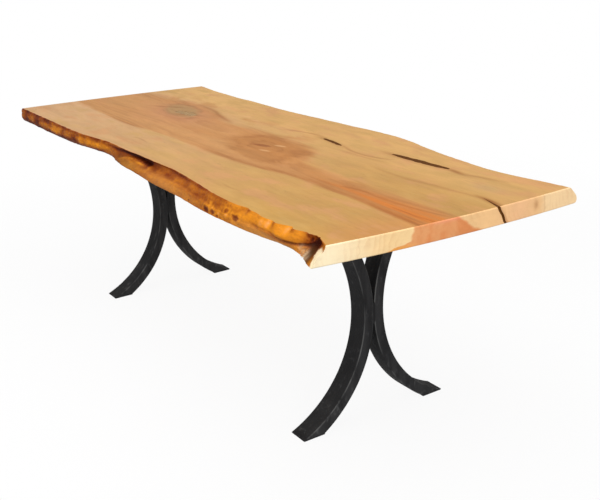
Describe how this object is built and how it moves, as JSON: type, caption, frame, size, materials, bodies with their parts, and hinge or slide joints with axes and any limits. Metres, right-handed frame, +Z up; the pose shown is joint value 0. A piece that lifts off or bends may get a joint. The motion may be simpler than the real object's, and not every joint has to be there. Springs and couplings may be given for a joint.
{
  "type": "live edge dining table",
  "caption": "Long dining table: a natural edge wood slab with resin-filled checks, on pedestals of bent black steel tube set back to back.",
  "frame": {"origin": "on the floor midway between the two pedestals", "axes": "+X along the slab towards the right end, +Y towards the back long edge, +Z up"},
  "size_m": [2.2965, 0.8983, 0.755],
  "materials": {
    "slab_wood": "satin oiled wood, pale sapwood and orange-brown heartwood",
    "check_resin": "dark brown resin, polished flush",
    "knot_resin": "grey-green tinted resin, polished flush",
    "powder_coat": "fine-textured matte black powder coat",
    "bolt_steel": "zinc-plated",
    "insert_brass": "machined",
    "pad_rubber": "matte"
  },
  "bodies": {
    "root": {"slab": "slab_wood", "end_check_fill": "check_resin", "long_check_fill": "check_resin", "short_check_fill": "check_resin", "knot_fill": "knot_resin", "left_mounting_plate": "powder_coat", "left_plate_bolts": "bolt_steel", "left_plate_washers": "bolt_steel", "left_threaded_inserts": "insert_brass", "left_waist_weld": "powder_coat", "left_top_welds": "powder_coat", "left_front_leg": "powder_coat", "left_front_foot_plate": "powder_coat", "left_front_floor_pad": "pad_rubber", "left_back_leg": "powder_coat", "left_back_foot_plate": "powder_coat", "left_back_floor_pad": "pad_rubber", "right_mounting_plate": "powder_coat", "right_plate_bolts": "bolt_steel", "right_plate_washers": "bolt_steel", "right_threaded_inserts": "insert_brass", "right_waist_weld": "powder_coat", "right_top_welds": "powder_coat", "right_front_leg": "powder_coat", "right_front_foot_plate": "powder_coat", "right_front_floor_pad": "pad_rubber", "right_back_leg": "powder_coat", "right_back_foot_plate": "powder_coat", "right_back_floor_pad": "pad_rubber"}
  },
  "joints": []
}
